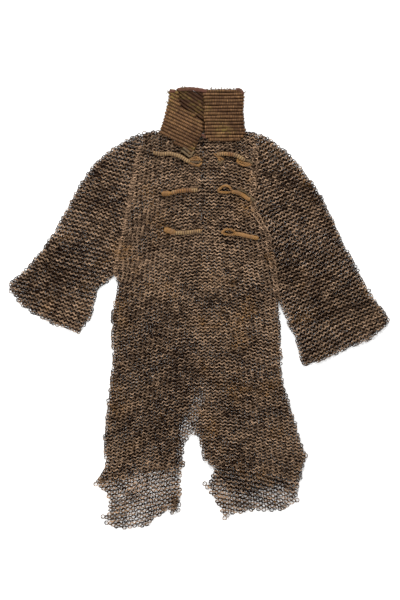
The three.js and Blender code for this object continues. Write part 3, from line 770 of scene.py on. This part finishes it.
def armholeLine(own, beside):
    # points where the front ends and a sleeve begins, found by rays along level lines
    xs = np.arange(seamLook["acrossFrom"], seamLook["acrossTo"], seamLook["probe"])
    ys = np.arange(seamLook["downFrom"], seamLook["downTo"], -seamLook["step"])
    grid = np.stack(np.meshgrid(xs, ys), axis=-1)
    here = dropOn(own, grid.reshape(-1, 2))[0].reshape(grid.shape[:2])
    there = dropOn(beside, grid.reshape(-1, 2))[0].reshape(grid.shape[:2])
    edge = (here[:, :-2] & there[:, 2:]) | (there[:, :-2] & here[:, 2:])
    rows = np.flatnonzero(edge.any(axis=1))
    return grid[rows, edge[rows].argmax(axis=1) + 1]


def seamRings(name, line, own, look):
    # rings in two rows side by side along the seam, on top of the cloth and under it
    ahead = np.gradient(line, axis=0)
    angles = np.arctan2(ahead[:, 1], ahead[:, 0])
    side = np.stack([-np.sin(angles), np.cos(angles)], axis=1)
    worn = (line[:, 1] > look["worn"][0]) & (line[:, 1] < look["worn"][1])
    angles = np.where(worn, angles, look["angle"] + rng.normal(0, seamLook["turn"], len(line)))
    pieces = []
    for level in (None, lowLevel):
        for parity in (1.0, -1.0):
            places = line - side * parity * seamLook["offset"]
            found, heights, normals = dropOn(own, places)
            top = np.where(found, heights, topLayer["flat"]) - topLayer["sink"]
            heights = top if level is None else np.full(len(line), level)
            centres = np.column_stack([places, heights])
            centres += rng.normal(0, seamLook["jitter"], (len(line), 3)) * seamLook["jitterShare"]
            along = levelVectors(angles)
            tones = rng.normal(mailTone["middle"], mailTone["spread"], len(line))
            tones = tones + seamLook["wornLift"] * worn
            pieces.append(ringMesh(
                name, centres, along, np.tile(upright, (len(line), 1)),
                parity * bodyWeave["tilt"] + rng.normal(0, handLaid["tilt"], len(line)),
                ringSize, mailFinish, tones,
            ))
    return pieces


for side in ("left", "right"):
    line = armholeLine(trees["front_panel"], trees["sleeve_" + side])
    seam = seamRings("seam" + side.capitalize(), line, trees["front_panel"], seamLook[side])
    sleevePieces[side] = joinPieces(sleevePieces[side].name, [sleevePieces[side], *seam])
    print("seam", side, len(line), "rings in a row")


def declareMail(piece, node):
    # the piece takes the place of its CAD node on the root body
    takePlace(piece, node)


for piece in (frontUpper, frontSkirt):
    declareMail(piece, "front_panel")
for piece in (backUpper, backSkirt):
    declareMail(piece, "back_panel")
for side, piece in sleevePieces.items():
    declareMail(piece, "sleeve_" + side)

# Collar: rows of small rings laced tight, each row a rib

collar = {
    "pitch": 7.3 * mm,
    "fill": 0.52,              # half width of a rib over the pitch
    "probe": 0.5 * mm,
    "fewest": 12,              # a rib with no more probes than this is left out
    "ragged": 0.5 * mm,
    "sway": 0.35 * mm,
    "swayReach": 0.011,
    "swayPhase": 6.0,
    "flapRest": 8.7 * mm,      # height of a flap's underside where it leans least
    "lean": 0.024,
    "leanFrom": 398 * mm,
    "under": 1.5 * mm,         # from a rib's underside to its widest line
    "over": 4.7 * mm,          # from there to its top
    "coil": 3.9 * mm,          # from ring to ring along a rib
    "coilDepth": 0.13,
    "coilMean": 0.7,
    "coilLean": 0.16,
    "sections": 96,
    "corners": 8,
    "roundEnd": 3.0 * mm,
    "endFill": 0.93,
    "backLift": 1.6 * mm,
    "toneLow": 0.1,            # tone of a rib's side, and what its top and its coils' crests add: wear with a painted highlight
    "toneTop": 0.45,
    "toneCoil": 0.5,
    "toneSpread": 0.08,
    "mottle": 0.13,
}
collarRibs = {
    # dark is taken off each piece's rib tone; the back's larger value is painted shade on the collar's
    # inside below the flaps
    "collarBackRibs": {"node": "collar_back", "angle": -34, "flat": True, "dark": 0.44},
    "collarFlapLeftRibs": {"node": "collar_flap_left", "angle": -26, "flat": False, "dark": 0.14},
    "collarFlapRightRibs": {"node": "collar_flap_right", "angle": 0.5, "flat": False, "dark": 0.09},
}


def collarPiece(name, ribs):
    # rib k runs along c + s d + k pitch n, between the ends that a ray finds on the CAD node
    tree = treeOf(ribs["node"])
    low, high = [np.array(corner[:2]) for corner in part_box(ribs["node"])]
    middle, reach = (low + high) / 2, np.hypot(*(high - low)) / 2
    angle = np.radians(ribs["angle"])
    along, across = np.array([np.cos(angle), np.sin(angle)]), np.array([-np.sin(angle), np.cos(angle)])
    offsets = np.arange(-reach, reach, collar["pitch"])
    steps = np.arange(-reach, reach, collar["probe"])
    grid = middle + steps[None, :, None] * along + offsets[:, None, None] * across
    found = dropOn(tree, grid.reshape(-1, 2))[0].reshape(len(offsets), len(steps))
    long = found.sum(axis=1) > collar["fewest"]
    found, offsets = found[long], offsets[long]
    first, last = steps[found.argmax(axis=1)], steps[len(steps) - 1 - found[:, ::-1].argmax(axis=1)]
    count = len(offsets)
    t = np.linspace(0, 1, collar["sections"])[None, :]
    ragged = rng.normal(0, collar["ragged"], (2, count, 1))
    s = (first[:, None] + ragged[0]) * (1 - t) + (last[:, None] + ragged[1]) * t
    swayStart = rng.uniform(0, collar["swayPhase"], (count, 1))
    sway = collar["sway"] * np.sin(s / collar["swayReach"] + swayStart)
    place = middle + s[..., None] * along + (offsets[:, None] + sway)[..., None] * across
    rest = collar["flapRest"] + collar["lean"] * (collar["leanFrom"] - place[..., 1:])
    rest = np.full_like(rest, collar["backLift"]) if ribs["flat"] else rest
    centres = np.concatenate([place, rest + collar["under"]], axis=-1)
    toEnd = np.minimum(s - s[:, :1], s[:, -1:] - s)
    rounding = np.sqrt(1 - np.clip(1 - toEnd / collar["roundEnd"], 0, collar["endFill"]) ** 2)
    a = np.arange(collar["corners"]) * 2 * np.pi / collar["corners"]
    # coils: 1 + depth (|cos(pi phase)| - mean), of which the width takes half
    coilStart = rng.uniform(0, 1, (count, 1, 1))
    phase = s[..., None] / collar["coil"] + collar["coilLean"] * np.sin(a) + coilStart
    coil = 1 + collar["coilDepth"] * (np.abs(np.cos(np.pi * phase)) - collar["coilMean"])
    widths = collar["pitch"] * collar["fill"] * rounding[..., None] * (1 + coil) / 2
    heights = np.where(np.sin(a) > 0, collar["over"], collar["under"]) * rounding[..., None] * coil
    sides = np.broadcast_to(np.append(across, 0.0), centres.shape)
    ups = np.broadcast_to(upright, centres.shape)
    piece = sweptTubes(name, centres, sides, ups, widths, heights, collar["corners"], collarFinish)
    # tops and coil crests lighter, hollows between coils darker: wear with painted highlight and painted
    # shade
    worn = collar["toneTop"] * np.clip(np.sin(a), 0, 1) + collar["toneLow"]
    worn = worn + collar["toneCoil"] * (coil - 1) / collar["coilDepth"]
    # less the piece's dark, which on the collar's back is painted shade
    worn = worn + rng.normal(0, collar["toneSpread"], (count, 1, 1)) - ribs["dark"]
    worn = worn + rng.normal(0, collar["mottle"], (count, collar["sections"] // 2, 1)).repeat(2, axis=1)
    storeValues(piece, "ringTone", np.clip(worn, 0, 1))
    takePlace(piece, ribs["node"])


for name, ribs in collarRibs.items():
    collarPiece(name, ribs)


# Fasteners: leather cords wound with thong, and twisted loops

leather = {
    "rest": 8.7 * mm,
    "cordRadius": 4.4 * mm,
    "strandRadius": 2.7 * mm,
    "twist": 11 * mm,          # length in which two thongs turn once round each other
    "wrapPitch": 5.2 * mm,
    "wrapDepth": 0.26,
    "wrapMean": 0.6,
    "sheathWrap": 0.4,         # share of the winding's depth on a plain sheath
    "thongOffset": 0.45,       # how far the two thongs lie off a strand's line, and how thick they
    "thongShare": 0.62,        # are, over its radius
    "knobSeat": 0.95,
    "knobWrap": (0.2, 7 * mm),
    "endLength": 1.3,          # an end is rounded over this many radii
    "endFill": 0.97,
    "corners": 12,
    "thongCorners": 8,
    "fewestSections": 8,
    "step": 0.9 * mm,
}
fasteners = {                      # every line is x and y in mm, and a knob's radius is too
    "fastener_left_1": {
        "cord": [(-101, 348), (-85, 345), (-62, 345), (-40, 339), (-27, 331), (-17, 327)],
        "strands": [
            [(-22, 329), (-8, 337), (0, 336), (9, 329)],
            [(-22, 330), (-10, 332), (3, 331)],
            [(-22, 328), (-8, 326), (6, 326)],
            [(-24, 328), (-9, 321), (1, 319), (9, 325)],
        ],
    },
    "fastener_left_2": {
        "cord": [(-62, 256), (-45, 261), (-27, 263), (-9, 263), (0, 265)],
        "knob": {"from": (-82, 255), "to": (-60, 256), "radius": 5.6},
    },
    "fastener_left_3": {
        "cord": [(-56, 167), (-34, 168), (-20, 169), (-4, 171), (9, 173)],
        "knob": {"from": (-76, 176), "to": (-50, 168), "radius": 6.2},
    },
    "fastener_right_1": {
        "cord": [(42, 343), (56, 345), (72, 344), (86, 341), (96, 336), (106, 331)],
        "strands": [
            [(90, 334), (90, 326), (104, 319), (121, 321)],
            [(92, 329), (106, 324), (119, 322)],
            [(102, 332), (114, 329), (123, 323)],
            [(36, 345), (44, 339), (50, 328)],
            [(42, 347), (48, 339), (58, 331)],
            [(46, 328), (50, 324), (56, 330)],
        ],
    },
    "fastener_right_2": {
        "cord": [(75, 260), (88, 258), (101, 252), (112, 244), (118, 242)],
        "sheath": True,
        "strands": [
            [(80, 260), (60, 258), (46, 261), (52, 270)],
            [(76, 262), (70, 271), (58, 273), (48, 265)],
            [(88, 263), (104, 259), (116, 248), (126, 240)],
        ],
    },
    "fastener_right_3": {
        "cord": [(82, 166), (97, 164), (108, 161), (122, 158), (136, 155)],
        "sheath": True,
        "strands": [
            [(86, 165), (70, 163), (55, 167), (58, 173)],
            [(86, 167), (76, 174), (62, 175), (54, 168)],
        ],
    },
}


def smoothLine(points, step):
    # Hermite curve through the points: at each the tangent is half the step between its neighbours
    points = np.asarray(points, dtype=float)
    tangents = np.gradient(points, axis=0)
    chords = np.linalg.norm(np.diff(points, axis=0), axis=1)
    count = max(leather["fewestSections"], int(chords.sum() / step))
    u = np.linspace(0, len(points) - 1, count)
    i = np.minimum(u.astype(int), len(points) - 2)
    t = (u - i)[:, None]
    h0, h1 = 2 * t ** 3 - 3 * t ** 2 + 1, t ** 3 - 2 * t ** 2 + t
    h2, h3 = -2 * t ** 3 + 3 * t ** 2, t ** 3 - t ** 2
    return h0 * points[i] + h1 * tangents[i] + h2 * points[i + 1] + h3 * tangents[i + 1]


def woundTube(
    name, line, radius, finish, wrapDepth=0.0, wrapPitch=1.0,
    taper=0.6, corners=leather["corners"], squash=1.0,
):
    # r(s, a) = radius end(s) (1 + wrapDepth (|cos(pi (s / wrapPitch + a / 2 pi))| - mean)), with the
    # height less by the squash; the coordinates "wrap" are s / wrapPitch and a / 2 pi
    ahead, s = alongLine(line)
    side = np.stack([-ahead[:, 1], ahead[:, 0], np.zeros(len(line))], axis=1)
    side /= np.linalg.norm(side, axis=1)[:, None]
    up = np.cross(ahead, side)
    toEnd = np.minimum(s, s[-1] - s)
    fromRound = np.clip(1 - toEnd / (radius * leather["endLength"]), 0, leather["endFill"])
    close = np.sqrt(1 - fromRound ** 2) ** taper
    a = np.arange(corners) / corners
    lift = np.abs(np.cos(np.pi * (s[:, None] / wrapPitch + a[None, :])))
    reach = (radius * close[:, None] * (1 + wrapDepth * (lift - leather["wrapMean"])))[None]
    piece = sweptTubes(name, line[None], side[None], up[None], reach, squash * reach, corners, finish)
    wrap = piece.data.uv_layers.new(name="wrap")
    index = np.empty(len(piece.data.loops), np.int32)
    piece.data.loops.foreach_get("vertex_index", index)
    places = np.stack([s[index // corners] / wrapPitch, index % corners / corners], axis=1)
    wrap.data.foreach_set("uv", places.ravel().astype(np.float32))
    return piece


def atHeight(points, height):
    # smooth line through points in mm, level at a height
    line = smoothLine(np.array(points) * mm, leather["step"])
    return np.column_stack([line, np.full(len(line), height)])


def twistedStrand(name, points, radius, finish):
    # two thongs twisted about one line: each is a share of r off it and turns once in a twist length
    line = atHeight(points, leather["rest"] + radius)
    ahead, s = alongLine(line)
    side = np.cross(ahead, upright)
    thongs = []
    for start in (0, np.pi):
        turn = 2 * np.pi * s / leather["twist"] + start
        offset = side * np.cos(turn)[:, None] + upright * np.sin(turn)[:, None]
        thongs.append(woundTube(
            name, line + offset * radius * leather["thongOffset"], radius * leather["thongShare"], finish,
            corners=leather["thongCorners"],
        ))
    return thongs


def fastenerPiece(node, shape):
    # a wound cord or a plain sheath, with the strands of its loops and its knob, joined
    radius, depth, finish = leather["cordRadius"], leather["wrapDepth"], cordFinish
    if "sheath" in shape:
        depth, finish = depth * leather["sheathWrap"], loopFinish
    line = atHeight(shape["cord"], leather["rest"] + radius)
    parts = [woundTube(node + "_cord", line, radius, finish, depth, leather["wrapPitch"])]
    for index, points in enumerate(shape.get("strands", [])):
        strandFinish = thongFinish if index % 3 == 2 else loopFinish      # every third one is darker
        parts += twistedStrand(node + "_loop", points, leather["strandRadius"], strandFinish)
    if "knob" in shape:
        knob = shape["knob"]
        radius = knob["radius"] * mm
        line = atHeight([knob["from"], knob["to"]], leather["rest"] + radius * leather["knobSeat"])
        parts.append(woundTube(node + "_knob", line, radius, loopFinish, *leather["knobWrap"], taper=1.0))
    name = "".join(word.capitalize() for word in node.split("_"))
    piece = joinPieces(name[0].lower() + name[1:], parts)
    takePlace(piece, node)


for node, shape in fasteners.items():
    fastenerPiece(node, shape)

# Trim of the collar: the strip along its top edge, worn patches, loops at the left flap's foot
# and frayed thong ends

trim = {
    "strip": [(-46, 489.5), (-20, 491), (2, 489), (22, 484.5)],
    "stripHeight": 8.4 * mm,
    "stripRadius": 4.4 * mm,
    "stripWrap": (0.2, 9 * mm),    # depth and length of a strip's unevenness
    "squash": 0.55,
    "patches": [                   # each a line and the height of its middle
        ([(84, 490), (95, 488), (102, 479)], 12.4 * mm),
        ([(7, 389), (13, 385), (20, 380)], 11.5 * mm),
        ([(-64, 488), (-58, 485), (-50, 487)], 12.0 * mm),
    ],
    "patchRadius": 3.2 * mm,
    "patchWrap": (0.2, 7 * mm),
    "footLoops": [
        [(-38, 353), (-28, 346), (-18, 339), (-13, 346)],
        [(-34, 359), (-24, 352), (-15, 345), (-9, 351)],
    ],
    "footHeight": 13.5 * mm,
    "footRadius": 2.5 * mm,
    "footWrap": (0.1, 5 * mm),
    "wispRoots": [                 # x and y in mm and the heading in degrees
        (-66, 486, 165), (-62, 489, 135), (-67, 482, 190), (-35, 492, 112), (-31, 492, 84), (28, 489, 65),
        (38, 490, 45), (79, 490, 58), (66, 490, 105), (52, 490, 85), (103, 482, 15), (-70, 462, 185),
    ],
    "wispsEach": 3,
    "wispTurn": 18,                # spread of the headings in degrees, and of the bends in radians
    "wispBend": 0.7,
    "wispLength": 8 * mm,
    "wispShortest": 0.4,
    "wispScatter": 1.2 * mm,
    "wispRadius": 0.85 * mm,
    "wispTaper": 0.7,
    "wispHeight": 11 * mm,
    "wispRise": 0.6 * mm,
    "wispSections": 6,
    "wispCorners": 4,
}


def frayedEnds(name):
    # wisps that bend as they run: P(t) = root + L t (cos(h + k t), sin(h + k t)), r = r0 (1 - taper t)
    roots = np.repeat(np.array(trim["wispRoots"], dtype=float), trim["wispsEach"], axis=0)
    count, sections, corners = len(roots), trim["wispSections"], trim["wispCorners"]
    t = np.linspace(0, 1, sections)[None, :]
    heading = np.radians(roots[:, 2:] + rng.normal(0, trim["wispTurn"], (count, 1)))
    turn = heading + rng.normal(0, trim["wispBend"], (count, 1)) * t
    length = trim["wispLength"] * rng.uniform(trim["wispShortest"], 1.0, (count, 1)) * t
    start = roots[:, :2] * mm + rng.normal(0, trim["wispScatter"], (count, 2))
    height = trim["wispHeight"] + rng.normal(0, trim["wispRise"], (count, 1)) + 0 * t
    centres = np.stack([
        start[:, :1] + length * np.cos(turn), start[:, 1:] + length * np.sin(turn), height,
    ], axis=2)
    sides = np.stack([-np.sin(turn), np.cos(turn), 0 * turn], axis=2)
    ups = np.broadcast_to(upright, centres.shape)
    radius = trim["wispRadius"] * (1 - trim["wispTaper"] * t)
    radius = np.broadcast_to(radius[..., None], (count, sections, corners))
    return sweptTubes(name, centres, sides, ups, radius, radius, corners, thongFinish)


def collarTrim():
    # flattened strips of dark leather, thong loops and frayed ends as one piece
    parts = [woundTube(
        "strip", atHeight(trim["strip"], trim["stripHeight"]), trim["stripRadius"], bindingFinish,
        *trim["stripWrap"], squash=trim["squash"],
    )]
    for points, height in trim["patches"]:
        parts.append(woundTube(
            "patch", atHeight(points, height), trim["patchRadius"], bindingFinish,
            *trim["patchWrap"], squash=trim["squash"],
        ))
    for points in trim["footLoops"]:
        line = atHeight(points, trim["footHeight"])
        parts.append(woundTube("footLoop", line, trim["footRadius"], thongFinish, *trim["footWrap"]))
    parts.append(frayedEnds("wisps"))
    takePlace(joinPieces("collarBindingStrip", parts), "collar_binding")


collarTrim()
print("collar and fasteners ready")

print("all pieces ready")
